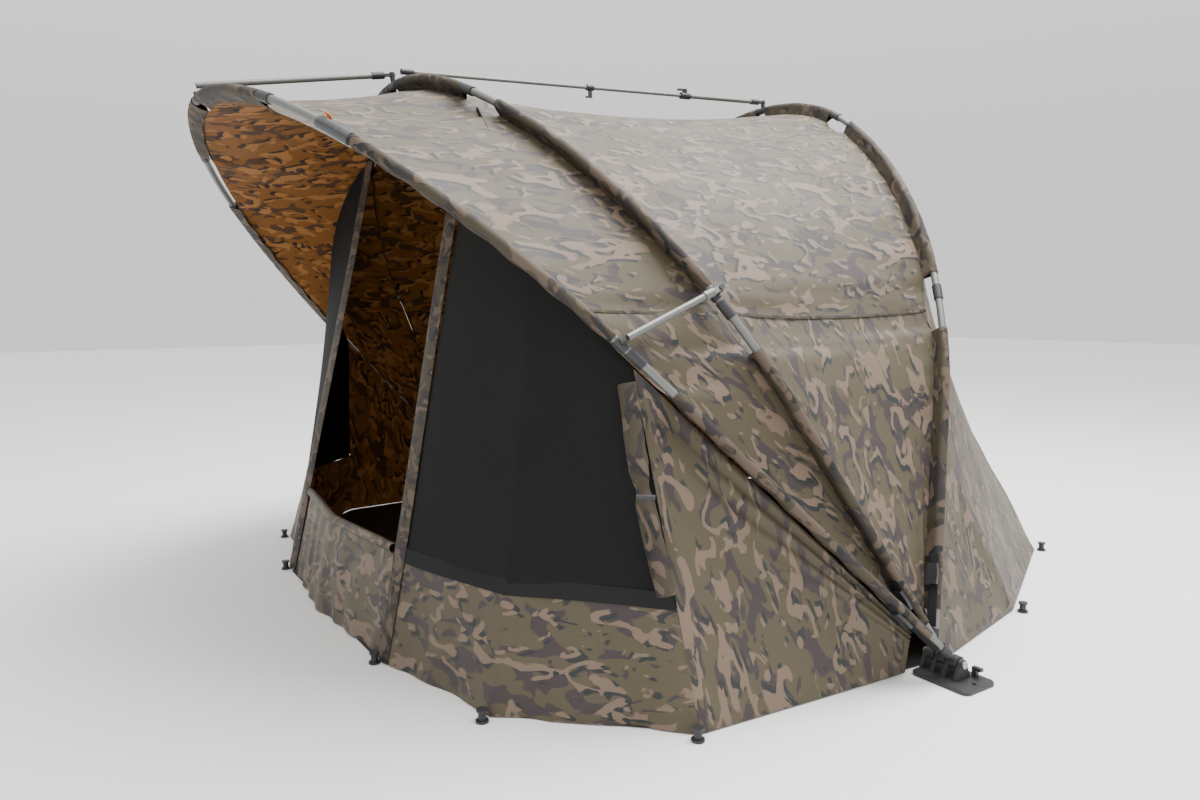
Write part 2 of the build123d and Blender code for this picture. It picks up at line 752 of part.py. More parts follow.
# side bars: root on the middle arch, tip over the front arch
side_root_at = mid["leg"] + connector_step
side_tip_at = front["leg"] + connector_step
root_tube = in_space(mid, side_root_at)
tip_tube = in_space(front, side_tip_at)
tube_run = unit(in_space(mid, side_root_at + 20) - in_space(mid, side_root_at - 20))
side_out = unit((tip_tube - root_tube).cross(tube_run))
if side_out.X < 0:
    side_out = -side_out
root = root_tube + side_out * bar_lift
tip = tip_tube + side_out * bar_lift
along = unit(tip - root)

with BuildPart() as mid_connectors:
    clamp_ring(mid, side_root_at - 16, side_root_at + 16, root_tube, side_out, lug_top)
    stud(root_tube, side_out, lug_top - 1, cap_top)
    mirror(about=Plane.YZ)
finish(mid_connectors, "mid_side_connectors")

with BuildPart() as front_connectors:
    clamp_ring(front, side_tip_at - 16, side_tip_at + 16, tip_tube, side_out, boss_top)
    mirror(about=Plane.YZ)
finish(front_connectors, "front_side_connectors")

with BuildPart() as side_bar:
    straight_tube(root + along * (end_reach - 8), tip - along * 2, bar_radius, bar_radius - bar_wall)
    bar_end(root, along, side_out, end_reach - 9)
    straight_tube(root + along * (end_reach - 8), root + along * (end_reach + 22),
                  bar_radius + 2.5, bar_radius + fit_gap / 10)
side_bar_right = side_bar.part
finish(side_bar, "side_bar_right")
with BuildPart() as side_bar_left:
    add(mirror(side_bar_right, about=Plane.YZ, mode=Mode.PRIVATE))
finish(side_bar_left, "side_bar_left")

# ---- touch-tape wrap on the front arch, with its pull tab ------------------
wrap_start = front["collar"] - front["collar_bare"] + 2
wrap_end = wrap_start + 98
with BuildPart() as wrap:
    ring_along(front, wrap_start, wrap_end, tube_radius + 6, tube_radius + fit_gap)
finish(wrap, "touch_tape_wrap")
with BuildPart() as tab:
    tab_at = in_space(front, wrap_end - 10)
    with BuildSketch(Plane(origin=tab_at - rib_plane(front).z_dir * (tube_radius + 6.4),
                           x_dir=(1, 0, 0), z_dir=-rib_plane(front).z_dir)):
        Rectangle(26, 18)
    extrude(amount=2)
finish(tab, "pull_tab")
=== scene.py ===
import json
import math

import bmesh
import bpy
from mathutils import Matrix, Vector, noise


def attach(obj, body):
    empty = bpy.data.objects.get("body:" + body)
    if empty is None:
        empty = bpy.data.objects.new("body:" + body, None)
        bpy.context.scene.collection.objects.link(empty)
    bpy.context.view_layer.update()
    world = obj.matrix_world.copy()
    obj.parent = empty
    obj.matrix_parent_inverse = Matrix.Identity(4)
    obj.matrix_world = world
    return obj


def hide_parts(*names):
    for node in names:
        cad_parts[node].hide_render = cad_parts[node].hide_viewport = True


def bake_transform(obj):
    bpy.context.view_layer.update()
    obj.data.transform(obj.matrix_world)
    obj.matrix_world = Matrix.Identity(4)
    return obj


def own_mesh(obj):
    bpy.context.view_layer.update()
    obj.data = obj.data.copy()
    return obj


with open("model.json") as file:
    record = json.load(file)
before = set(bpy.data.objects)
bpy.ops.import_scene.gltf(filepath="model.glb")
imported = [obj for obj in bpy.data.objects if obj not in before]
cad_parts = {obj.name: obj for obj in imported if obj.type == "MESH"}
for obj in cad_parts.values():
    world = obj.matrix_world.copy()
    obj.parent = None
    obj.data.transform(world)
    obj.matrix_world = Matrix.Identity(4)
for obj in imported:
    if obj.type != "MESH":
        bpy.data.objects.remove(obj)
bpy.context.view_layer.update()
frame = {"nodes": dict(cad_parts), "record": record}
print("frame loaded:", len(frame["nodes"]), "nodes")

# ---- the three arches, as the frame has them ----
shelter = {
    "halfWidth": 1.350, "pivotHeight": 0.047, "skinInset": 0.036, "skinStart": 0.110,
    "bareBelow": 0.120, "bareAbove": 0.068, "collarAbove": 0.024, "crownGap": 0.026,
    "seamHeight": 0.92, "clothWall": 0.0012,
}
ribs = {
    "front": {"rake": 45.0, "stand": 2.033, "lean": 14.9, "straight": 1.076, "balance": 0.87,
              "stagger": 0.032, "leg": 1.112, "crown": 0.940, "collarBare": 0.302},
    "mid": {"rake": 60.2, "stand": 1.780, "lean": 13.1, "straight": 0.718, "balance": 3.85,
            "stagger": 0.0, "leg": 1.032, "crown": 0.876, "collarBare": 0.130},
    "rear": {"rake": 111.3, "stand": 1.768, "lean": 14.0, "straight": 0.665, "balance": 2.37,
             "stagger": -0.032, "leg": 1.016, "crown": 0.866, "collarBare": 0.095},
}


def bendRib(rib):
    lean, share = math.radians(rib["lean"]), rib["balance"]
    out = shelter["halfWidth"] + rib["stagger"]
    footEnd = Vector((out - rib["straight"] * math.sin(lean), rib["straight"] * math.cos(lean)))
    crown = Vector((0, rib["stand"]))
    along, level = Vector((-math.sin(lean), math.cos(lean))), Vector((-1, 0))
    span = crown - footEnd
    a = 2 * share * (along.dot(level) - 1)
    b = -2 * span.dot(along * share + level)
    c = span.dot(span)
    root = math.sqrt(b * b - 4 * a * c)
    near = max((-b - root) / (2 * a), (-b + root) / (2 * a))
    far = share * near
    joint = ((footEnd + along * far) * near + (crown - level * near) * far) / (near + far)
    first, second = joint - footEnd, crown - joint
    inwards = Vector((-along.y, along.x))
    shoulderRadius = first.dot(first) / (2 * first.dot(inwards))
    crownRadius = second.dot(second) / (2 * abs(second.y))
    turn = 2 * math.atan(abs(first.dot(inwards)) / first.dot(along))
    shoulder = rib["straight"] + shoulderRadius * turn
    half = shoulder + crownRadius * (math.pi / 2 - lean - turn)
    rib.update(out=out, footEnd=footEnd, joint=joint, shoulderRadius=shoulderRadius,
               crownRadius=crownRadius, bend=lean + turn, shoulder=shoulder, half=half,
               collar=half - rib["crown"] / 2)


def archPoint(rib, d, inset=0.0):
    if d > rib["half"]:
        p = archPoint(rib, 2 * rib["half"] - d, inset)
        return Vector((-p.x, p.y))
    lean = math.radians(rib["lean"])
    if d <= rib["straight"]:
        side = Vector((-math.cos(lean), -math.sin(lean))) * inset
        return Vector((rib["out"] - d * math.sin(lean), d * math.cos(lean))) + side
    if d <= rib["shoulder"]:
        radius, turned = rib["shoulderRadius"], lean + (d - rib["straight"]) / rib["shoulderRadius"]
        centre = rib["footEnd"] - Vector((math.cos(lean), math.sin(lean))) * radius
    else:
        radius, turned = rib["crownRadius"], rib["bend"] + (d - rib["shoulder"]) / rib["crownRadius"]
        centre = rib["joint"] - Vector((math.cos(rib["bend"]), math.sin(rib["bend"]))) * radius
    return centre + Vector((math.cos(turned), math.sin(turned))) * (radius - inset)


def inSpace(rib, d, inset=0.0, shift=0.0):
    # shift moves the point square to the arch's plane, towards the doorway side
    p, rake = archPoint(rib, d, inset), math.radians(rib["rake"])
    up, ahead = Vector((0, -math.cos(rake), math.sin(rake))), Vector((0, -math.sin(rake), -math.cos(rake)))
    return Vector((p.x, 0, shelter["pivotHeight"])) + up * p.y + ahead * shift


for rib in ribs.values():
    bendRib(rib)
    rib["covered"] = [(shelter["skinStart"], rib["leg"] - shelter["bareBelow"]),
                      (rib["leg"] + shelter["bareAbove"], rib["collar"] - rib["collarBare"]),
                      (rib["collar"] + shelter["collarAbove"], rib["half"] - shelter["crownGap"])]
    low, high = 0.3, rib["half"]
    for _ in range(40):  # where the horizontal seam meets the arch
        guess = (low + high) / 2
        low, high = (guess, high) if inSpace(rib, guess).z < shelter["seamHeight"] else (low, guess)
    rib["seam"] = low
front, mid, rear = ribs["front"], ribs["mid"], ribs["rear"]


def flip(p):
    return Vector((-p.x, p.y, p.z))


def between(a, b, share):
    return a + (b - a) * share


def smooth(x):
    x = min(1.0, max(0.0, x))
    return x * x * (3 - 2 * x)


def bump(x, middle, width):
    return math.exp(-((x - middle) / width) ** 2)


def rough(p, size, seed=0.0):
    return noise.noise(Vector((p[0] / size + seed, p[1] / size - seed, (p[2] if len(p) > 2 else 0) / size)))


# ---- shader groups shared by the finishes ----
def addGroup(name, inputs, outputs):
    group = bpy.data.node_groups.new(name, "ShaderNodeTree")
    for label, kind, value in inputs:
        socket = group.interface.new_socket(label, in_out="INPUT", socket_type=kind)
        if value is not None:
            socket.default_value = value
    for label, kind in outputs:
        group.interface.new_socket(label, in_out="OUTPUT", socket_type=kind)
    return group, group.nodes.new("NodeGroupInput"), group.nodes.new("NodeGroupOutput")


def addNode(tree, kind, values=None, **settings):
    node = tree.nodes.new(kind)
    for key, value in settings.items():
        setattr(node, key, value)
    for key, value in (values or {}).items():
        node.inputs[key].default_value = value
    return node


def mixColour(tree, factor, a, b):
    node = addNode(tree, "ShaderNodeMix", data_type="RGBA")
    tree.links.new(factor, node.inputs[0])
    tree.links.new(a, node.inputs[6])
    tree.links.new(b, node.inputs[7])
    return node.outputs[2]


def blotches(tree, vector, offset, scale, level, detail=1.5, distortion=0.9, edge=0.012):
    shift = addNode(tree, "ShaderNodeVectorMath", {1: offset}, operation="ADD")
    tree.links.new(vector, shift.inputs[0])
    cloud = addNode(tree, "ShaderNodeTexNoise",
                    {"Scale": scale, "Detail": detail, "Roughness": 0.45, "Distortion": distortion})
    tree.links.new(shift.outputs[0], cloud.inputs["Vector"])
    mask = addNode(tree, "ShaderNodeMapRange", {1: level - edge, 2: level + edge, 3: 0.0, 4: 1.0})
    tree.links.new(cloud.outputs[0], mask.inputs[0])
    return mask.outputs[0]


printed = {"scale": 1.12, "paleLevel": 0.580, "brownLevel": 0.56, "shadowShift": (0.010, 0.007, 0.0)}


def camoGroup():
    group, inp, out = addGroup("printedCamouflage", [
        ("Vector", "NodeSocketVector", None), ("Ground", "NodeSocketColor", (0.2, 0.17, 0.1, 1)),
        ("Pale", "NodeSocketColor", (0.4, 0.3, 0.2, 1)), ("Brown", "NodeSocketColor", (0.1, 0.08, 0.08, 1)),
        ("Line", "NodeSocketColor", (0.05, 0.06, 0.05, 1))], [("Color", "NodeSocketColor")])
    size = printed["scale"]
    stretch = addNode(group, "ShaderNodeMapping", {"Scale": (0.62 * size, 1.0 * size, 0.8 * size)})
    group.links.new(inp.outputs["Vector"], stretch.inputs["Vector"])
    p = stretch.outputs[0]
    dx, dy, dz = printed["shadowShift"]
    pale = blotches(group, p, (0, 0, 0), 17.0, printed["paleLevel"], distortion=1.5)
    shade = blotches(group, p, (dx, dy, dz), 17.0, printed["paleLevel"] - 0.020, distortion=1.5)
    brown = blotches(group, p, (3.1, 1.7, 0.4), 14.0, printed["brownLevel"], distortion=1.3)
    line = blotches(group, p, (7.3, 2.2, 1.1), 12.0, 0.50, distortion=0.6)
    keep = addNode(group, "ShaderNodeMath", operation="MULTIPLY")
    group.links.new(shade, keep.inputs[0])
    group.links.new(line, keep.inputs[1])
    tone = mixColour(group, brown, inp.outputs["Ground"], inp.outputs["Brown"])
    tone = mixColour(group, keep.outputs[0], tone, inp.outputs["Line"])
    tone = mixColour(group, pale, tone, inp.outputs["Pale"])
    group.links.new(tone, out.inputs["Color"])
    return group


def weaveGroup():
    # fine plain weave with soft creases, as a height
    group, inp, out = addGroup("wovenHeight", [
        ("Vector", "NodeSocketVector", None), ("Threads", "NodeSocketFloat", 900.0),
        ("Creases", "NodeSocketFloat", 0.6)], [("Height", "NodeSocketFloat"), ("Fade", "NodeSocketFloat")])
    warp = addNode(group, "ShaderNodeTexWave", {"Distortion": 0.4, "Detail": 0.0}, bands_direction="X")
    weft = addNode(group, "ShaderNodeTexWave", {"Distortion": 0.4, "Detail": 0.0}, bands_direction="Y")
    creases = addNode(group, "ShaderNodeTexNoise",
                      {"Scale": 22.0, "Detail": 4.0, "Roughness": 0.55, "Distortion": 0.4})
    fade = addNode(group, "ShaderNodeTexNoise", {"Scale": 3.0, "Detail": 3.0})
    for node in (warp, weft, creases, fade):
        group.links.new(inp.outputs["Vector"], node.inputs["Vector"])
    for node in (warp, weft):
        group.links.new(inp.outputs["Threads"], node.inputs["Scale"])
    threads = addNode(group, "ShaderNodeMath", operation="MULTIPLY")
    group.links.new(warp.outputs[1], threads.inputs[0])
    group.links.new(weft.outputs[1], threads.inputs[1])
    faint = addNode(group, "ShaderNodeMath", {1: 0.12}, operation="MULTIPLY")
    group.links.new(threads.outputs[0], faint.inputs[0])
    soft = addNode(group, "ShaderNodeMath", operation="MULTIPLY_ADD")
    group.links.new(creases.outputs[0], soft.inputs[0])
    group.links.new(inp.outputs["Creases"], soft.inputs[1])
    group.links.new(faint.outputs[0], soft.inputs[2])
    group.links.new(soft.outputs[0], out.inputs["Height"])
    group.links.new(fade.outputs[0], out.inputs["Fade"])
    return group


def wearGroup():
    # broken-up roughness and faint rubbed marks for tube and plastic
    group, inp, out = addGroup("handledSurface", [
        ("Vector", "NodeSocketVector", None), ("Scale", "NodeSocketFloat", 60.0)],
        [("Rough", "NodeSocketFloat"), ("Marks", "NodeSocketFloat"), ("Height", "NodeSocketFloat")])
    grain = addNode(group, "ShaderNodeTexNoise", {"Detail": 5.0, "Roughness": 0.6})
    marks = addNode(group, "ShaderNodeTexNoise",
                    {"Scale": 9.0, "Detail": 6.0, "Roughness": 0.7, "Distortion": 0.5})
    group.links.new(inp.outputs["Vector"], grain.inputs["Vector"])
    group.links.new(inp.outputs["Vector"], marks.inputs["Vector"])
    group.links.new(inp.outputs["Scale"], grain.inputs["Scale"])
    pick = addNode(group, "ShaderNodeMapRange", {1: 0.58, 2: 0.72, 3: 0.0, 4: 1.0})
    group.links.new(marks.outputs[0], pick.inputs[0])
    group.links.new(grain.outputs[0], out.inputs["Rough"])
    group.links.new(pick.outputs[0], out.inputs["Marks"])
    group.links.new(grain.outputs[0], out.inputs["Height"])
    return group


camouflage, woven, handled = camoGroup(), weaveGroup(), wearGroup()


def newMaterial(name, values):
    mat = bpy.data.materials.new(name)
    mat.use_nodes = True
    shader = mat.node_tree.nodes["Principled BSDF"]
    for key, value in values.items():
        shader.inputs[key].default_value = value
    return mat, mat.node_tree, shader


def placeGroup(tree, group, vector, values=None):
    node = tree.nodes.new("ShaderNodeGroup")
    node.node_tree = group
    for key, value in (values or {}).items():
        node.inputs[key].default_value = value
    tree.links.new(vector, node.inputs["Vector"])
    return node


def bumpTo(tree, shader, height, strength, distance):
    node = addNode(tree, "ShaderNodeBump", {"Strength": strength, "Distance": distance})
    tree.links.new(height, node.inputs["Height"])
    tree.links.new(node.outputs[0], shader.inputs["Normal"])


def camoCloth(name, colours, roughness=0.72, creases=0.6, glow=0.0, bumpDistance=0.004, sheen=0.05):
    mat, tree, shader = newMaterial(name, {"Roughness": roughness, "Specular IOR Level": 0.40,
                                           "Sheen Weight": sheen, "Sheen Roughness": 0.5})
    place = addNode(tree, "ShaderNodeUVMap", uv_map="cloth")
    print_ = placeGroup(tree, camouflage, place.outputs[0],
                        {k: (*v, 1) for k, v in zip(("Ground", "Pale", "Brown", "Line"), colours)})
    height = placeGroup(tree, woven, place.outputs[0], {"Creases": creases})
    tree.links.new(print_.outputs[0], shader.inputs["Base Color"])
    # painted glow: the print itself is fed to emission, so the cloth gives off light though it is no lamp
    if glow:
        tree.links.new(print_.outputs[0], shader.inputs["Emission Color"])
        shader.inputs["Emission Strength"].default_value = glow
    uneven = addNode(tree, "ShaderNodeMapRange", {1: 0.3, 2: 0.7, 3: roughness - 0.08, 4: roughness + 0.08})
    tree.links.new(height.outputs["Fade"], uneven.inputs[0])
    tree.links.new(uneven.outputs[0], shader.inputs["Roughness"])
    bumpTo(tree, shader, height.outputs["Height"], 0.35, bumpDistance)
    return mat


def plainCloth(name, colour, roughness=0.8, threads=500.0, creases=0.2, strength=0.5, sheen=0.0, alpha=1.0):
    mat, tree, shader = newMaterial(name, {"Roughness": roughness, "Specular IOR Level": 0.2,
                                           "Sheen Weight": sheen, "Alpha": alpha})
    place = addNode(tree, "ShaderNodeUVMap", uv_map="cloth")
    height = placeGroup(tree, woven, place.outputs[0], {"Threads": threads, "Creases": creases})
    ramp = addNode(tree, "ShaderNodeValToRGB")
    ramp.color_ramp.elements[0].color = (*[c * 0.75 for c in colour], 1)
    ramp.color_ramp.elements[1].color = (*[c * 1.25 for c in colour], 1)
    tree.links.new(height.outputs["Fade"], ramp.inputs[0])
    tree.links.new(ramp.outputs[0], shader.inputs["Base Color"])
    bumpTo(tree, shader, height.outputs["Height"], strength, 0.001)
    return mat


def hardFinish(name, colour, roughness, metallic=0.0, scale=60.0, marks=(1.5, 1.5, 1.5), strength=0.1):
    mat, tree, shader = newMaterial(name, {"Metallic": metallic, "Specular IOR Level": 0.45})
    place = addNode(tree, "ShaderNodeTexCoord")
    worn = placeGroup(tree, handled, place.outputs["Object"], {"Scale": scale})
    spread = addNode(tree, "ShaderNodeMapRange", {1: 0.3, 2: 0.7, 3: roughness - 0.09, 4: roughness + 0.09})
    tree.links.new(worn.outputs["Rough"], spread.inputs[0])
    tree.links.new(spread.outputs[0], shader.inputs["Roughness"])
    a = addNode(tree, "ShaderNodeRGB")
    a.outputs[0].default_value = (*colour, 1)
    b = addNode(tree, "ShaderNodeRGB")
    b.outputs[0].default_value = (*[c * m for c, m in zip(colour, marks)], 1)
    rubbed = mixColour(tree, worn.outputs["Marks"], a.outputs[0], b.outputs[0])
    tree.links.new(rubbed, shader.inputs["Base Color"])
    bumpTo(tree, shader, worn.outputs["Height"], strength, 0.0005)
    return mat


outside = ((0.070, 0.055, 0.029), (0.150, 0.104, 0.072), (0.037, 0.026, 0.026), (0.013, 0.016, 0.016))
inside = ((0.200, 0.075, 0.010), (0.330, 0.140, 0.035), (0.070, 0.030, 0.010), (0.020, 0.010, 0.005))
finishes = {
    "camo": camoCloth("camoCloth", outside, roughness=0.56),
    # painted shade: the outer camo darkened to 0.60, a shaded copy worn by sleeves, fins, seam strips, door
    # posts and the rolled flap
    "camoSleeve": camoCloth("camoSleeve", [[c * 0.60 for c in t] for t in outside], creases=1.0, sheen=0.0),
    # painted light: the orange lining glows at 0.05 of its own print, brightening the dim inside
    "lining": camoCloth("orangeLining", inside, roughness=0.7, glow=0.05, sheen=0.0),
    "mesh": plainCloth("windowMesh", (0.0060, 0.0064, 0.0060), roughness=0.8, threads=420, creases=0.1),
    "binding": plainCloth("blackBinding", (0.012, 0.012, 0.012), threads=700),
    "webbing": plainCloth("webbing", (0.016, 0.016, 0.017), threads=260, strength=0.9),
    "ground": plainCloth("groundCloth", (0.030, 0.030, 0.027), roughness=0.45, creases=0.8),
    "tape": plainCloth("touchTape", (0.055, 0.058, 0.062), roughness=0.95, threads=300, sheen=0.3),
    "tab": plainCloth("orangeTab", (0.85, 0.22, 0.02), roughness=0.6, threads=600),
    "tube": hardFinish("satinTube", (0.165, 0.165, 0.160), 0.48, metallic=0.6, scale=120,
                       marks=(1.2, 1.2, 1.2), strength=0.05),
    "plastic": hardFinish("mouldedPlastic", (0.022, 0.022, 0.024), 0.48, scale=220, marks=(1.8, 1.8, 1.8)),
    "steel": hardFinish("pinSteel", (0.42, 0.42, 0.43), 0.35, metallic=1.0, scale=150, marks=(0.7, 0.7, 0.7)),
}
print("finishes ready:", len(finishes))

cadFinish = {"rib_tube": "tube", "pin_steel": "steel"}
slotOf = {s["node"]: s["material_slot"] for s in frame["record"]["subparts"]}
for name, obj in frame["nodes"].items():
    finish = finishes[cadFinish.get(slotOf.get(name), "plastic")]
    for slot in obj.material_slots:
        slot.material = finish


# ---- cloth pieces ----
def gridOver(bm, columns, rows, place):
    # adds one grid, laid over a surface given as a function of (u, w), with its own flat layout
    made = bmesh.ops.create_grid(bm, x_segments=columns, y_segments=rows, size=0.5)["verts"]
    layout, spots = {}, {}
    for v in made:
        u, w = v.co.x + 0.5, v.co.y + 0.5
        layout[v] = (u, w)
        spots[(round(u * columns * 2), round(w * rows * 2))] = v
    for v, (u, w) in layout.items():
        v.co = place(u, w)
    us, ws = sorted({k[0] for k in spots}), sorted({k[1] for k in spots})
    middle, lengths, flat = len(ws) // 2, 0.0, {}
    for i, a in enumerate(us):
        line = [spots[(a, b)].co for b in ws]
        if i:
            lengths += (line[middle] - last[middle]).length
        last, run = line, 0.0
        flat[spots[(a, ws[middle])]] = (lengths, 0.0)
        for j in range(middle + 1, len(ws)):
            run += (line[j] - line[j - 1]).length
            flat[spots[(a, ws[j])]] = (lengths, run)
        run = 0.0
        for j in range(middle - 1, -1, -1):
            run += (line[j] - line[j + 1]).length
            flat[spots[(a, ws[j])]] = (lengths, -run)
    return made, layout, flat


def clothPiece(name, panels, materials, outwards=None, wall=None, wrinkle=None,
               turnPrint=False, printShift=0.0):
    # panels: list of (columns, rows, place); wrinkle(u, w, co) moves a point along its normal
    bm = bmesh.new()
    uv = bm.loops.layers.uv.new("cloth")
    flats, layouts = {}, {}
    for number, (columns, rows, place) in enumerate(panels):
        made, layout, flat = gridOver(bm, columns, rows, place)
        for v in made:
            x, y = flat[v]
            flats[v] = (y + number * 0.7 + printShift, x) if turnPrint else (x + printShift, y + number * 0.7)
            layouts[v] = layout[v]
    bm.faces.ensure_lookup_table()
    for face in bm.faces:
        face.smooth = True
        for loop in face.loops:
            loop[uv].uv = flats[loop.vert]
    bm.normal_update()
    if outwards is not None:
        wrong = [f for f in bm.faces if f.normal.dot(outwards(f.calc_center_median())) < 0]
        if len(wrong) > len(bm.faces) / 2:
            bmesh.ops.reverse_faces(bm, faces=bm.faces[:])
    bm.normal_update()
    if wrinkle is not None:
        moves = {v: v.normal * wrinkle(*layouts[v], v.co) for v in layouts}
        for v, move in moves.items():
            v.co += move
    bm.normal_update()
    area = sum(f.calc_area() for f in bm.faces)
    mesh = bpy.data.meshes.new(name)
    bm.to_mesh(mesh)
    bm.free()
    obj = bpy.data.objects.new(name, mesh)
    bpy.context.scene.collection.objects.link(obj)
    for m in materials:
        mesh.materials.append(finishes[m])
    solid = obj.modifiers.new("clothWall", "SOLIDIFY")
    solid.thickness = shelter["clothWall"] if wall is None else wall
    solid.offset = -1.0
    if len(materials) > 1:
        solid.material_offset = 1
    normals = obj.modifiers.new("evenNormals", "WEIGHTED_NORMAL")
    normals.keep_sharp = False
    obj["clothArea"] = area
    return obj


def declareSheet(obj, length):
    del obj["clothArea"]


def fromAxis(p):
    return Vector((p.x * 0.6, p.y, p.z - 0.02))


def edgeInset(rib, d):
    # inside the sleeves the skin's edge sits in the fin; across the bare tube it runs straighter
    d = min(d, 2 * rib["half"] - d)
    for low, high in rib["covered"]:
        if low <= d <= high:
            return shelter["skinInset"] - 0.004
        near = min(abs(d - low), abs(d - high))
        if near < 0.03:
            return shelter["skinInset"] - 0.004 + 0.012 * smooth(near / 0.03)
    return shelter["skinInset"] + 0.008


def canopySurface(a, b, fromA, toA, fromB, toB, sag):
    # a and b are the arches at w = 0 and w = 1
    def place(u, w):
        da, db = fromA + (toA - fromA) * u, fromB + (toB - fromB) * u
        pa = inSpace(a, da, edgeInset(a, da), -0.0006)
        pb = inSpace(b, db, edgeInset(b, db), 0.0006)
        p = between(pa, pb, w)
        gap = (pb - pa).length
        pull = sag * gap * 4 * w * (1 - w) * smooth(gap / 0.5)
        inward = Vector((-p.x * 0.8, 0, 0)) + Vector((0, -p.y * 0.25, -(p.z - 0.05) * 0.9))
        return p + inward.normalized() * pull
    return place


def angleBlend(obj, reach):
    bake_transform(obj)


canopies = {
    "front": {"arches": ("front", "mid"), "bodies": ("front_rib", "mid_rib"), "sag": 0.020,
              "rows": 18, "reach": (0.125, 0.055), "node": "front_canopy"},
    "rear": {"arches": ("mid", "rear"), "bodies": ("mid_rib", "rear_rib"), "sag": 0.030,
             "rows": 34, "reach": (0.40, 0.18), "node": "rear_canopy"},
}


def canopyWrinkle(label, part):
    def wrinkle(u, w, co):
        edge = min(w, 1 - w)
        ripples = 70 * u * (2.2 if part == "roof" else 1.0) + 9 * rough(co, 0.25, 3.0)
        pucker = 0.0022 * math.exp(-edge / 0.10) * math.sin(ripples)
        soft = 0.0040 * rough(co, 0.34, 1.3) + 0.0022 * rough(co, 0.11, 5.1)
        fold = 0.0
        if part != "roof":  # long tension folds run down to the hub
            low = smooth((0.72 - u) / 0.5)
            near = bump(w, 0.16, 0.14) if label == "front" else bump(w, 0.88, 0.12)
            folds = 46 if label == "front" else 58
            fold = 0.0055 * low * near * math.sin(w * folds + 3 * rough(co, 0.5, 2.0))
        elif label == "rear":
            shoulders = smooth((0.42 - u) / 0.2) + smooth((u - 0.58) / 0.2)
            waves = math.sin(95 * u + 16 * w + 5 * rough(co, 0.3, 8.0))
            fold = 0.0045 * bump(w, 0.90, 0.10) * waves * shoulders
        return (pucker + soft + fold) * smooth(edge / 0.03)
    return wrinkle


for label, spec in canopies.items():
    a, b = ribs[spec["arches"][0]], ribs[spec["arches"][1]]
    start, rows = shelter["skinStart"], spec["rows"]
    spans = {
        "roof": (a["seam"], 2 * a["half"] - a["seam"], b["seam"], 2 * b["half"] - b["seam"], 150),
        "rightSide": (start, a["seam"], start, b["seam"], 60),
        "leftSide": (2 * a["half"] - a["seam"], 2 * a["half"] - start,
                     2 * b["half"] - b["seam"], 2 * b["half"] - start, 60),
    }
    for part, (a0, a1, b0, b1, columns) in spans.items():
        place = canopySurface(a, b, a0, a1, b0, b1, spec["sag"])
        back = part == "leftSide"
        wrinkle = canopyWrinkle(label, part)
        turned = (lambda u, w, co, f=wrinkle: f(1 - u, w, co)) if back else wrinkle
        name = label + "Canopy" + part[0].upper() + part[1:]
        obj = clothPiece(name, [(columns, rows, place)], ["camo", "lining"], outwards=fromAxis,
                         wrinkle=turned, turnPrint=part == "roof", printShift=len(name) * 0.37)
        reach = spec["reach"][0 if part == "roof" else 1]
        angleBlend(obj, reach)
        if part == "roof":
            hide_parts(spec["node"])
        widestAt = 0.5 if part == "roof" else float(not back)
        widest = (place(widestAt, 0) - place(widestAt, 1)).length
        declareSheet(obj, max(a1 - a0, b1 - b0))
        print("canopy", name)
    # the seam: a narrow lapped strip
    for side in (1, -1):
        def lap(u, w, a=a, b=b, side=side, sag=spec["sag"]):
            shift = (u - 0.5) * 0.010
            da, db = a["seam"] + shift, b["seam"] + shift
            p = canopySurface(a, b, da, da + 1e-6, db, db + 1e-6, sag)(0.0, w)
            p = p if side > 0 else flip(p)
            return p + fromAxis(p).normalized() * 0.0016
        name = label + "Seam" + ("Right" if side > 0 else "Left")
        # the strip takes the darkened sleeve camo, a painted shade copy of the outer print
        strip = clothPiece(name, [(4, rows, lap)], ["camoSleeve"], outwards=fromAxis, wall=0.0008)
        angleBlend(strip, spec["reach"][0])
        declareSheet(strip, (lap(0.5, 0) - lap(0.5, 1)).length)

# ---- rear wall ----
rearHem = {"hub": (1.292, 0.084), "corner": (1.180, 0.578), "back": (0.856, 1.246), "middle": 1.500,
           "reach": 0.35, "columns": 150, "rows": 48}


def hemPoint(u):
    # u runs from the right hub round the back to the left hub
    side, t = (1, u * 2) if u <= 0.5 else (-1, (1 - u) * 2)
    hub, corner, back = [Vector((*rearHem[k], 0)) for k in ("hub", "corner", "back")]
    if t < 0.30:
        p = between(hub, corner, t / 0.30)
    elif t < 0.68:
        p = between(corner, back, (t - 0.30) / 0.38)
    else:
        share = (t - 0.68) / 0.32
        rise = rearHem["middle"] - back.y
        radius = (back.x ** 2 + rise ** 2) / (2 * rise)
        x = back.x * (1 - share)
        p = Vector((x, rearHem["middle"] - radius + math.sqrt(radius ** 2 - x ** 2), 0))
    return Vector((side * p.x, p.y, 0.004))


def ribShare(rib, u):
    # distance along the arch that faces the hem point at u
    side, t = (1, u * 2) if u <= 0.5 else (-1, (1 - u) * 2)
    stops = [(0.0, shelter["skinStart"]),
             (0.30, rib["straight"]), (0.68, rib["shoulder"]), (1.0, rib["half"])]
    for (t0, d0), (t1, d1) in zip(stops, stops[1:]):
        if t <= t1 + 1e-9:
            d = d0 + (d1 - d0) * (t - t0) / (t1 - t0)
            break
    return d if side > 0 else 2 * rib["half"] - d


def rearSurface(u, w):
    top = ribShare(rear, u)
    p = between(inSpace(rear, top, edgeInset(rear, top), -0.0006), hemPoint(u), w)
    gap = (inSpace(rear, top, 0.036) - hemPoint(u)).length
    return p + Vector((-p.x * 0.5, -p.y * 0.4, -0.45)).normalized() * 0.022 * gap * 4 * w * (1 - w)


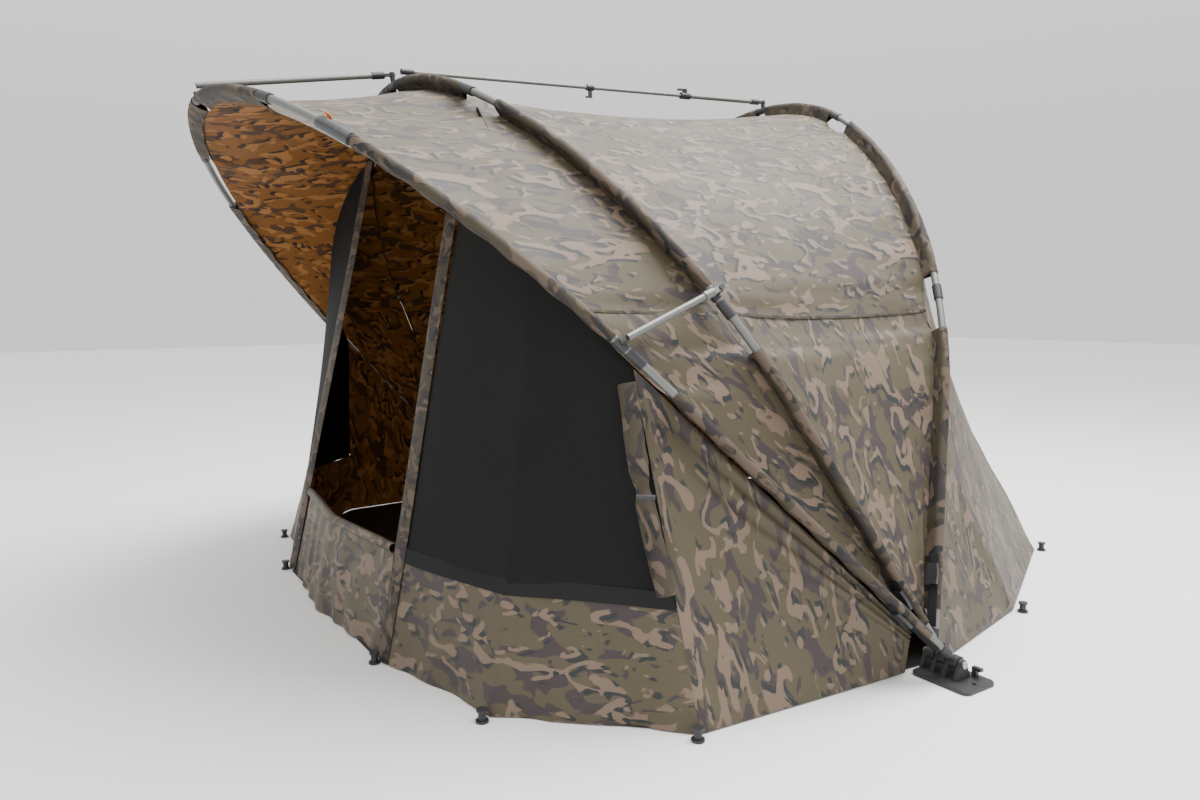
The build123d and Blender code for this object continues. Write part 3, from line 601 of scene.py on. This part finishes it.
def rearWrinkle(u, w, co):
    t = min(u, 1 - u) * 2
    crease = -0.007 * (bump(t, 0.30, 0.018) + bump(t, 0.68, 0.018)) * smooth(w * 1.4) * -1
    soft = 0.006 * rough(co, 0.35, 4.0) + 0.003 * rough(co, 0.12, 7.0)
    pull = 0.004 * smooth((w - 0.6) / 0.4) * math.sin(34 * t + 4 * rough(co, 0.4, 1.0))
    return (crease + soft + pull) * smooth(min(w, 1 - w) / 0.05)


wall = clothPiece("rearWallCloth", [(rearHem["columns"], rearHem["rows"], rearSurface)], ["camo", "lining"],
                  outwards=lambda p: Vector((p.x, p.y, 0.2)), wrinkle=rearWrinkle, turnPrint=True,
                  printShift=4.1)
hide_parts("rear_wall")
angleBlend(wall, rearHem["reach"])
declareSheet(wall, 4.6)
print("rear wall")

# ---- front: side panels, skirt, windows, posts, sill ----
ground = {"pegA": (1.246, -0.697), "pegB": (0.921, -1.040), "pegC": (0.483, -1.131), "middle": -1.180,
          "strip": 0.265, "hem": 0.034, "postTopHalf": 0.430, "postWidth": 0.062, "postCloth": 0.076}
pegA, pegB, pegC = [Vector((*ground[k], 0.0)) for k in ("pegA", "pegB", "pegC")]
ribEnd = inSpace(front, front["leg"] - 0.020, 0.044, 0.0065)
low, high = mid["half"] * 0.5, mid["half"]
for _ in range(40):
    guess = (low + high) / 2
    low, high = (guess, high) if archPoint(mid, guess).x > ground["postTopHalf"] else (low, guess)
postTop = inSpace(mid, low, 0.050, 0.0145)
headB = between(ribEnd, postTop, 0.45)
lineA, lineB, lineC = (pegA, ribEnd), (pegB, headB), (pegC, postTop)
postClear = Vector((ground["postWidth"] / 2 + 0.004, -0.006, 0))


def atHeight(line, height):
    return between(line[0], line[1], (height - line[0].z) / (line[1].z - line[0].z))


def frontRun(u, a, b, c):
    # along the front from corner A over B to the post at C
    return between(a, b, u / 0.5) if u < 0.5 else between(b, c, (u - 0.5) / 0.5)


def mirrored(place):
    return lambda u, w: flip(place(u, w))


def forwards(p):
    return Vector((p.x * 0.5, -1.0, 0.1))


def sideways(p):
    return Vector((p.x, -0.3, 0.1))


def foldDown(obj):
    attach(obj, "base")
    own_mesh(obj)


def sidePanel(u, w):
    first, last = shelter["skinStart"] + 0.015, front["leg"] - 0.02
    top = inSpace(front, first + (last - first) * u, 0.040, 0.006)
    share = smooth(u) * 0.35 + u * 0.65
    bottom = between(Vector((1.290, -0.075, 0.003)), pegA + Vector((0.0, 0.0, 0.003)), share)
    p = between(top, bottom, w)
    bulge = 0.035 * (top - bottom).length * 4 * w * (1 - w) * smooth((1 - u) / 0.3)
    return p + Vector((-0.5, 0.35, 0)) * bulge


def sideWrinkle(u, w, co):
    ripples = w * 60 + 2.5 * rough(co, 0.4, 6.0)
    fan = 0.0075 * bump(w, 0.10, 0.16) * math.sin(ripples) * smooth((0.95 - u) / 0.3)
    corner = 0.005 * smooth((u - 0.45) / 0.5) * math.sin(w * 24 + 10 * u + 3 * rough(co, 0.3, 3.0))
    soft = 0.006 * rough(co, 0.28, 9.0) + 0.0025 * rough(co, 0.10, 2.0)
    return (fan + corner + soft) * smooth(min(w, 1 - w) / 0.04) * smooth((1 - u) / 0.05)


def skirtPanel(u, w):
    clear = postClear * smooth((u - 0.5) * 2)
    low = frontRun(u, pegA, pegB, pegC) + Vector((0, 0, 0.003))
    high = frontRun(u, *[atHeight(k, ground["strip"]) for k in (lineA, lineB, lineC)])
    return between(low, high, w) + clear


def skirtWrinkle(u, w, co):
    span = (u * 2) % 1.0
    belly = -0.010 * math.sin(math.pi * span) * (1 - w) ** 2
    drape = 0.0045 * math.sin(26 * u + 4 * rough(co, 0.2, 1.0)) * (1 - 0.6 * w)
    return (belly + drape + 0.005 * rough(co, 0.14, 8.0)) * smooth(min(u, 1 - u) / 0.03)


def canopyMate(d, a, b):
    # the distance along arch b that the canopy joins to distance d along arch a
    start = shelter["skinStart"]
    if d < a["seam"]:
        return start + (d - start) * (b["seam"] - start) / (a["seam"] - start)
    return b["seam"] + (d - a["seam"]) * (b["half"] - b["seam"]) / (a["half"] - a["seam"])


postMeets = low


def windowHead(u):
    # the mesh ends just under the canopy, all the way from the front arch to the post
    first = front["leg"] - 0.020
    da = first + (canopyMate(postMeets, mid, front) - first) * u
    a = inSpace(front, da, 0.044, -0.004 + 0.010 * (1 - u))
    b = inSpace(mid, canopyMate(da, front, mid), 0.044, 0.006)
    p = between(a, b, u)
    drop = 0.006 + canopies["front"]["sag"] * (b - a).length * 4 * u * (1 - u)
    return p - fromAxis(p).normalized() * drop


def windowPanel(u, w):
    clear = postClear * smooth((u - 0.5) * 2)
    low = frontRun(u, *[atHeight(k, ground["strip"] + 0.006) for k in (lineA, lineB, lineC)])
    return between(low, windowHead(u), w) + clear


def windowWrinkle(u, w, co):
    belly = 0.010 * math.sin(math.pi * u) * math.sin(math.pi * w)
    return (0.0035 * rough(co, 0.4, 2.0) - belly) * smooth(min(u, 1 - u) / 0.05)


def hemPanel(u, w):
    clear = postClear * smooth((u - 0.5) * 2) + Vector((0, -0.0030, 0))
    low = frontRun(u, *[atHeight(k, ground["strip"] - 0.004) for k in (lineA, lineB, lineC)])
    high = frontRun(u, *[atHeight(k, ground["strip"] + ground["hem"]) for k in (lineA, lineB, lineC)])
    return between(low, high, w) + clear + Vector((0, 0, 0.010)) * math.sin(math.pi * u * 2) * 0.3


def postPanel(u, w):
    foot, head = pegC + Vector((0, -0.008, 0.003)), between(pegC, postTop, 0.985) + Vector((0, -0.008, 0))
    p = between(foot, head, u)
    x = (w - 0.5) * ground["postCloth"]
    crown, sway = -0.006 * (1 - (2 * w - 1) ** 2), 0.006 * math.sin(2.2 * math.pi * u)
    return p + Vector((x, crown, 0)) + Vector((sway, 0, 0))


sideLow = pegC - Vector((ground["postWidth"] / 2 + 0.006, 0.004, 0))
sideHigh = atHeight(lineC, ground["strip"]) - Vector((ground["postWidth"] / 2 + 0.006, 0.004, 0))
sillMiddle = Vector((0, sideHigh.y + (ground["middle"] - sideLow.y), ground["strip"]))


def sillPanel(u, w):
    side, t = (1, 1 - 2 * u) if u < 0.5 else (-1, 2 * u - 1)
    low = between(Vector((0, ground["middle"], 0.003)), sideLow + Vector((0, 0, 0.003)), t)
    high = between(sillMiddle, sideHigh, t)
    p = between(low, high, w)
    return Vector((p.x * side, p.y, p.z))


def sillWrinkle(u, w, co):
    drape = 0.005 * math.sin(40 * u + 5 * rough(co, 0.2, 4.0)) * (1 - 0.4 * w)
    return (drape + 0.006 * rough(co, 0.15, 6.0)) * smooth(min(u, 1 - u) / 0.04)


def rollPanel(u, w):
    p = sillPanel(0.012 + u * 0.976, 1.0) + Vector((0, 0.002, 0.013))
    turn = w * 2 * math.pi * 1.35 + 0.6
    radius = 0.0125 + 0.0015 * w + 0.0012 * rough((p.x * 1.0, turn, 0), 0.12, 2.0)
    return p + Vector((0, math.cos(turn) * radius, math.sin(turn) * radius))


frontPieces = [
    ("sidePanelCloth", "side_panels", sidePanel, 70, 40, ["camo", "lining"],
     sideways, sideWrinkle, True, 0.80, 0.98, True),
    ("frontSkirtCloth", "front_skirt", skirtPanel, 60, 16, ["camo", "lining"],
     forwards, skirtWrinkle, True, 0.27, 0.93, False),
    ("windowMeshCloth", "window_meshes", windowPanel, 40, 40, ["mesh"],
     forwards, windowWrinkle, True, 1.05, 1.02, False),
    ("windowHemCloth", "window_hems", hemPanel, 40, 3, ["binding"], forwards, None, True, 0.038, 0.93, False),
    # the door posts take the darkened sleeve camo, a painted shade copy of the outer print
    ("doorPostCloth", "door_posts", postPanel, 60, 6, ["camoSleeve"],
     forwards, None, True, 0.078, 1.47, True),
    ("doorSillCloth", "door_sill", sillPanel, 60, 16, ["camo", "lining"],
     forwards, sillWrinkle, False, 0.27, 0.90, False),
    ("sillRollCloth", "sill_roll", rollPanel, 60, 26, ["camo"], None, None, False, 0.115, 0.88, False),
]
for name, node, place, columns, rows, mats, outwards, wrinkle, both, width, length, turnPrint in frontPieces:
    sides = (("Right", place), ("Left", mirrored(place))) if both else (("", place),)
    for n, (side, surface) in enumerate(sides):
        obj = clothPiece(name + side, [(columns, rows, surface)], mats, outwards=outwards, wrinkle=wrinkle,
                         turnPrint=turnPrint, printShift=len(name) * 0.61 + n * 1.9,
                         wall=0.0016 if name == "doorPostCloth" else None)
        foldDown(obj)
        if n == 0:
            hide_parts(node)
        declareSheet(obj, length)

# ---- rolled window flap, tied by its toggle ----
flapRoll = {"radius": 0.024, "narrow": 0.95, "turns": 1.6, "tie": 0.5}
windowOut = (pegA - pegB).cross(Vector((0, 0, 1))).normalized()
windowOut = -windowOut if windowOut.y > 0 else windowOut
windowAlong = (pegB - pegA).normalized()
rollOff = windowOut * 0.036 + windowAlong * 0.012
rollFoot = atHeight(lineA, ground["strip"] + 0.040) + rollOff
rollHead = between(pegA, ribEnd, 0.965) + rollOff
rollAxis = (rollHead - rollFoot).normalized()
rollSide = windowAlong - rollAxis * windowAlong.dot(rollAxis)
rollSide.normalize()
rollFace = rollAxis.cross(rollSide)


def flapSurface(u, w):
    turn = 2 * math.pi * flapRoll["turns"] * w
    waist = 1 - 0.34 * bump(u, flapRoll["tie"], 0.05)
    radius = (0.011 + (flapRoll["radius"] - 0.011) * w ** 0.6) * waist
    radius += 0.0022 * rough((u * 0.8, turn * 0.05, 0), 0.05, 3.0)
    p = between(rollFoot, rollHead, u) + rollSide * math.sin(math.pi * u) * 0.010
    return p + (rollSide * math.cos(turn) * flapRoll["narrow"] + rollFace * math.sin(turn)) * radius


# the flap takes the darkened sleeve camo, a painted shade copy of the outer print
flap = clothPiece("rolledFlapCloth", [(70, 44, flapSurface)], ["camoSleeve"], wall=0.0009, printShift=2.7)
foldDown(flap)
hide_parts("rolled_flap")
declareSheet(flap, 0.75)
print("rolled flap")

# ---- sleeves over the arches, with the fin that joins them to the skin ----
sleeve = {"radius": 0.0123, "tail": 0.037, "finHalf": 0.0020, "openAngle": 62.0}


def sleeveSurface(rib, d0, d1, seed, side):
    angle = math.radians(sleeve["openAngle"])

    def place(u, w):
        d = d0 + (d1 - d0) * u
        ends = min(u, 1 - u) * (d1 - d0)
        gather = 1 + (0.30 * math.exp(-ends / 0.018))
        pucker = 0.0011 * rough((d, w * 0.06, seed), 0.02, seed) * gather
        pucker += 0.0010 * rough((d, w * 0.10, seed), 0.07, seed)
        radius = sleeve["radius"] + 0.0010 + pucker
        edge = (radius * math.cos(angle), radius * math.sin(angle))
        if w < 0.25:
            t = w / 0.25
            a = sleeve["tail"] + (edge[0] - sleeve["tail"]) * t
            b = -(sleeve["finHalf"] + (edge[1] - sleeve["finHalf"]) * t)
        elif w > 0.75:
            t = (w - 0.75) / 0.25
            a, b = edge[0] + (sleeve["tail"] - edge[0]) * t, edge[1] + (sleeve["finHalf"] - edge[1]) * t
        else:
            turn = -angle - (2 * math.pi - 2 * angle) * (w - 0.25) / 0.5
            a, b = radius * math.cos(turn), radius * math.sin(turn)
        finWave = 0.0022 * math.sin(d * 55 + seed) * smooth((abs(w - 0.5) - 0.25) * 4)
        p = inSpace(rib, d, a, b + finWave)
        return p if side > 0 else flip(p)
    return place


bodyOf = {"front": "front_rib", "mid": "mid_rib", "rear": "rear_rib"}
for label, rib in ribs.items():
    panels, total = [], 0.0
    for n, (d0, d1) in enumerate(rib["covered"]):
        for side in (1, -1):
            surface = sleeveSurface(rib, d0, d1, n * 2.3 + side * 0.7, side)
            panels.append((max(24, int((d1 - d0) / 0.012)), 26, surface))
            total += d1 - d0
    # the sleeves take the darkened sleeve camo, a painted shade copy of the outer print
    obj = clothPiece(label + "SleeveCloth", panels, ["camoSleeve"], wall=0.0010, printShift=total)
    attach(obj, bodyOf[label])
    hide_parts(label + "_rib_sleeves")
    declareSheet(obj, total)
    print("sleeves", label, round(total, 2))

# ---- webbing at the arches' feet ----
strap = {"start": 0.064, "end": 0.250, "width": 0.025, "wall": 0.0014, "face": 0.0138}
for label, rib in ribs.items():
    panels = []
    for side in (1, -1):
        def strapSurface(u, w, rib=rib, side=side):
            d = strap["start"] + (strap["end"] - strap["start"]) * u
            rise = 0.0012 * math.sin(u * 9) * (1 - u)
            p = inSpace(rib, d, (w - 0.5) * strap["width"], strap["face"] + rise + strap["wall"])
            return p if side > 0 else flip(p)
        panels.append((24, 6, strapSurface))
    obj = clothPiece(label + "StrapWebbing", panels, ["webbing"], wall=strap["wall"],
                     outwards=lambda p, r=math.radians(rib["rake"]): Vector((0, -math.sin(r), -math.cos(r))))
    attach(obj, bodyOf[label])
    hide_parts(label + "_rib_straps")
    declareSheet(obj, strap["end"] - strap["start"])

# ---- touch-tape wrap and pull tab on the front arch ----
wrap = {"start": front["collar"] - front["collarBare"] + 0.002, "length": 0.098, "turns": 1.25}


def wrapSurface(u, w):
    turn = 2 * math.pi * wrap["turns"] * w + 0.8
    d = wrap["start"] + wrap["length"] * u
    radius = 0.0118 + 0.0034 * w + 0.0006 * rough((d, turn * 0.02, 0), 0.012, 2.0)
    return inSpace(front, d, math.cos(turn) * radius, math.sin(turn) * radius)


tape = clothPiece("touchTapeCloth", [(26, 44, wrapSurface)], ["tape"], wall=0.0012)
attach(tape, "front_rib")
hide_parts("touch_tape_wrap")
declareSheet(tape, 0.115)
pullTab = {"width": 0.016, "length": 0.030}


def tabSurface(u, w):
    d = wrap["start"] + wrap["length"] - 0.012 + (w - 0.5) * pullTab["width"]
    return inSpace(front, d, -0.004 + (u - 0.5) * pullTab["length"], -0.0178 - 0.003 * math.sin(math.pi * u))


tab = clothPiece("pullTabCloth", [(14, 6, tabSurface)], ["tab"], wall=0.0012)
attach(tab, "front_rib")
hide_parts("pull_tab")
declareSheet(tab, 0.030)

# ---- groundsheet ----
floorCloth = {"edge": [(-1.150, 0.440), (-1.118, 0.483), (-1.028, 0.921), (-0.693, 1.236), (-0.050, 1.275),
                       (0.084, 1.282), (0.578, 1.170), (1.246, 0.846), (1.440, 0.405)]}


def halfWidthAt(y):
    edge = floorCloth["edge"]
    for (y0, x0), (y1, x1) in zip(edge, edge[1:]):
        if y <= y1:
            return x0 + (x1 - x0) * (y - y0) / (y1 - y0)
    return edge[-1][1]


def floorSurface(u, w):
    y = floorCloth["edge"][0][0] + (floorCloth["edge"][-1][0] - floorCloth["edge"][0][0]) * w
    x = (u * 2 - 1) * halfWidthAt(y)
    return Vector((x, y, 0.0028 + 0.0012 * rough((x, y, 0), 0.12, 2.0)))


sheetCloth = clothPiece("groundsheetCloth", [(60, 70, floorSurface)], ["ground"],
                        outwards=lambda p: Vector((0, 0, 1)), wall=0.0008)
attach(sheetCloth, "base")
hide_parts("groundsheet")
declareSheet(sheetCloth, 2.60)
print("cloth pieces done")

# ---- floor, light and camera ----
studio = {"floorSize": 40.0, "key": 640.0, "fill": 45.0, "horizon": 1.0, "zenith": 1.8}
bm = bmesh.new()
bmesh.ops.create_grid(bm, x_segments=1, y_segments=1, size=studio["floorSize"] / 2)
floorMesh = bpy.data.meshes.new("studioFloor")
bm.to_mesh(floorMesh)
bm.free()
floor = bpy.data.objects.new("studioFloor", floorMesh)
bpy.context.scene.collection.objects.link(floor)
floorMat = newMaterial("paleFloor", {"Base Color": (0.80, 0.80, 0.79, 1), "Roughness": 0.9})[0]
floorMesh.materials.append(floorMat)
floor.location.z = -0.001

world = bpy.data.worlds.new("paleStudio")
world.use_nodes = True
sky = world.node_tree
sky.nodes["Background"].inputs[0].default_value = (1, 1, 1, 1)
direction = addNode(sky, "ShaderNodeTexCoord")
heights = addNode(sky, "ShaderNodeSeparateXYZ")
brighter = addNode(sky, "ShaderNodeMapRange", {1: 0.15, 2: 0.9, 3: studio["horizon"], 4: studio["zenith"]})
sky.links.new(direction.outputs["Generated"], heights.inputs[0])
sky.links.new(heights.outputs[2], brighter.inputs[0])
sky.links.new(brighter.outputs[0], sky.nodes["Background"].inputs[1])
bpy.context.scene.world = world


def areaLight(name, place, target, size, power, colour=(1, 1, 1)):
    light = bpy.data.lights.new(name, "AREA")
    light.size, light.energy, light.color = size, power, colour
    obj = bpy.data.objects.new(name, light)
    obj.location = place
    obj.rotation_euler = (Vector(target) - Vector(place)).to_track_quat("-Z", "Y").to_euler()
    bpy.context.scene.collection.objects.link(obj)
    return obj


areaLight("topLight", (1.0, 1.0, 5.2), (0, 0, 1.0), 4.0, studio["key"])
areaLight("fillLight", (4.5, -3.5, 2.6), (0, -0.3, 0.8), 3.0, studio["fill"])

view = {"place": (2.601, -1.828, 0.918), "yaw": 57.06, "pitch": -6.21, "roll": -0.30, "focal": 855.0}
yaw, pitch, roll = [math.radians(view[k]) for k in ("yaw", "pitch", "roll")]
ahead = Vector((-math.sin(yaw) * math.cos(pitch), math.cos(yaw) * math.cos(pitch), math.sin(pitch)))
level = Vector((math.cos(yaw), math.sin(yaw), 0))
over = level.cross(ahead)
right = level * math.cos(roll) + over * math.sin(roll)
up = over * math.cos(roll) - level * math.sin(roll)
lens = bpy.data.cameras.new("camera")
lens.sensor_width = 36.0
lens.lens = view["focal"] / 1200 * 36.0
camera = bpy.data.objects.new("camera", lens)
camera.matrix_world = Matrix((
    (right.x, up.x, -ahead.x, view["place"][0]), (right.y, up.y, -ahead.y, view["place"][1]),
    (right.z, up.z, -ahead.z, view["place"][2]), (0, 0, 0, 1)))
bpy.context.scene.collection.objects.link(camera)
bpy.context.scene.camera = camera
print("stage set")
